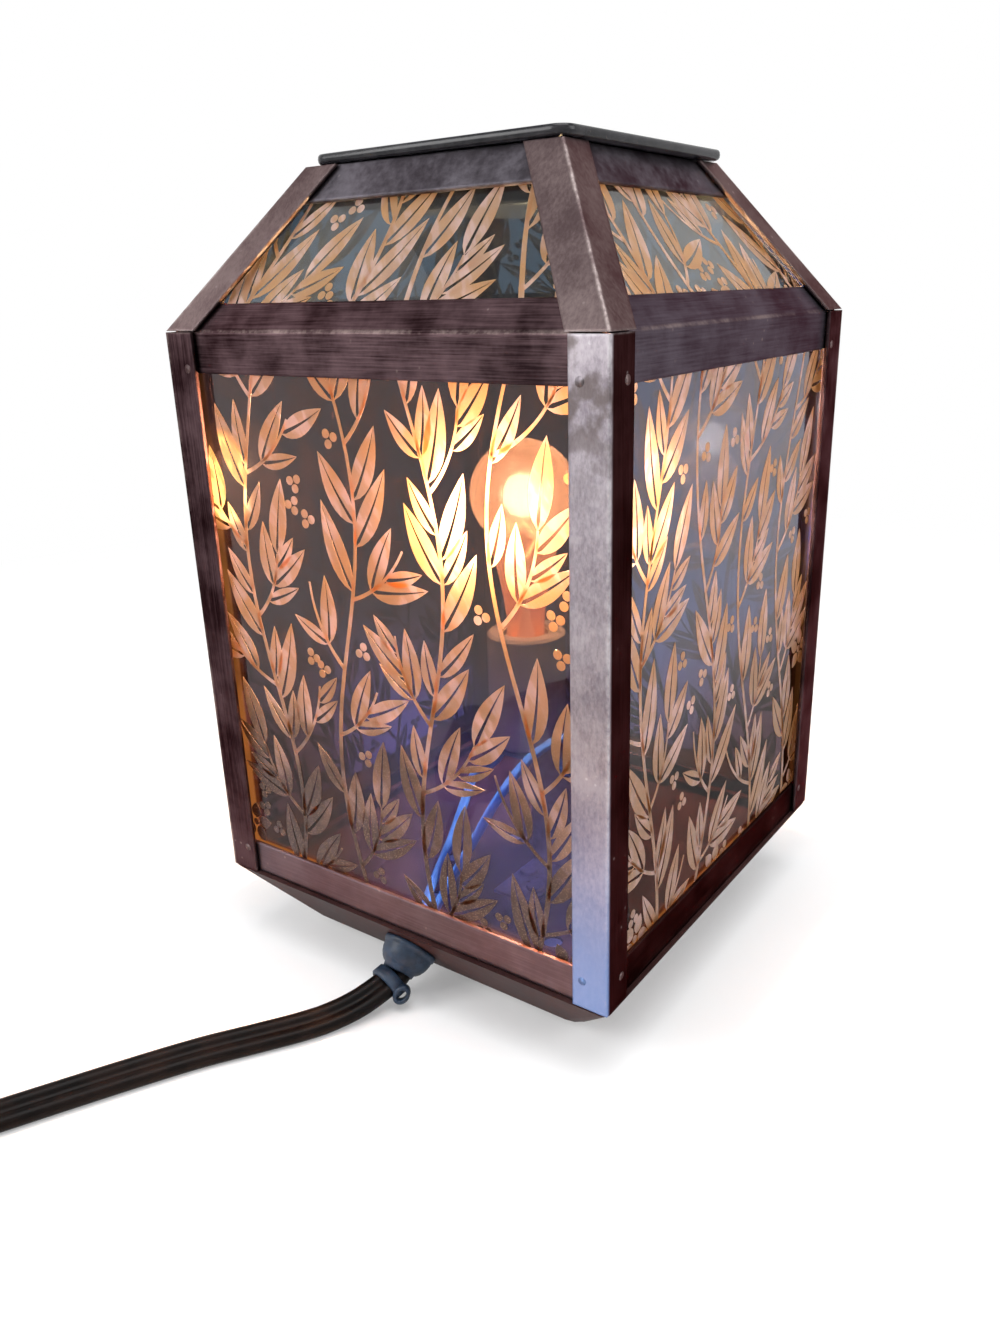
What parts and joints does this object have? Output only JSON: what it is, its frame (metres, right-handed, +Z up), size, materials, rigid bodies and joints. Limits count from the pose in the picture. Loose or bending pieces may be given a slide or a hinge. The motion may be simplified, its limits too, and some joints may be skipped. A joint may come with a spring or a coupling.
{
  "type": "wax warmer lamp",
  "caption": "Square lantern wax warmer: folded metal cage with clear panes, loose wax dish on top, bulb inside, mains cord with switch and plug.",
  "frame": {"origin": "on the table, under the middle of the square body", "axes": "+Z up; -Y out of the side that the cord leaves; +X out of the side to its right"},
  "size_m": [0.1462, 0.3359, 0.1975],
  "materials": {
    "bronze": "brushed, copper-bronze plated",
    "dark_bronze": "satin, dark bronze plated",
    "printed_glass": "clear, with a copper leaf print",
    "black_glaze": "black glaze on stoneware",
    "zinc_steel": "zinc plated",
    "brass": "nickel-free brass, slightly dull",
    "porcelain": "white porcelain",
    "frosted_glass": "frosted",
    "tungsten": "drawn wire",
    "rubber": "matte",
    "cord_rubber": "satin black sheath",
    "black_nylon": "satin",
    "black_plastic": "fine-grained satin",
    "rocker_plastic": "gloss"
  },
  "bodies": {
    "lamp": {"base_pan": "dark_bronze", "blade_live": "brass", "blade_neutral": "brass", "bottom_rail_back": "bronze", "bottom_rail_front": "bronze", "bottom_rail_left": "bronze", "bottom_rail_right": "bronze", "bracket_rivet_1": "zinc_steel", "bracket_rivet_2": "zinc_steel", "coil_tie_1": "black_nylon", "coil_tie_2": "black_nylon", "cord_bushing": "black_nylon", "cord_coil": "cord_rubber", "cord_to_coil": "cord_rubber", "cord_to_plug": "cord_rubber", "cord_to_switch": "cord_rubber", "foot_back_left": "rubber", "foot_back_right": "rubber", "foot_front_left": "rubber", "foot_front_right": "rubber", "hip_back_left": "bronze", "hip_back_right": "bronze", "hip_front_left": "bronze", "hip_front_right": "bronze", "holder_bracket": "zinc_steel", "holder_contact": "brass", "holder_cup": "porcelain", "holder_screw": "zinc_steel", "holder_sleeve": "brass", "lead_live": "cord_rubber", "lead_neutral": "cord_rubber", "plug_body": "black_plastic", "post_back_left": "bronze", "post_back_right": "bronze", "post_front_left": "bronze", "post_front_right": "bronze", "roof_pane_back": "printed_glass", "roof_pane_front": "printed_glass", "roof_pane_left": "printed_glass", "roof_pane_right": "printed_glass", "shoulder_rail_back": "bronze", "shoulder_rail_front": "bronze", "shoulder_rail_left": "bronze", "shoulder_rail_right": "bronze", "switch_base": "black_plastic", "switch_cover": "black_plastic", "top_rail_back": "bronze", "top_rail_front": "bronze", "top_rail_left": "bronze", "top_rail_right": "bronze", "wall_pane_back": "printed_glass", "wall_pane_front": "printed_glass", "wall_pane_left": "printed_glass", "wall_pane_right": "printed_glass"},
    "dish": {"wax_dish": "black_glaze"},
    "bulb": {"bulb_cap": "brass", "bulb_glass": "frosted_glass", "bulb_stem": "frosted_glass", "bulb_filament": "tungsten"},
    "rocker": {"switch_rocker": "rocker_plastic"}
  },
  "joints": [
    {"name": "dish_lift", "type": "slide", "parent": "lamp", "child": "dish", "axis": [0, 0, 1], "range_m": [0, 0.06]},
    {"name": "bulb_turn", "type": "hinge", "parent": "lamp", "child": "bulb", "pos_m": [0, 0, 0.0796], "axis": [0, 0, 1], "range_deg": [0, 1260]},
    {"name": "rocker_tilt", "type": "hinge", "parent": "lamp", "child": "rocker", "pos_m": [-0.06319, -0.1715, 0.0134], "axis": [0.8821, -0.471, 0], "range_deg": [-16, 0]}
  ]
}
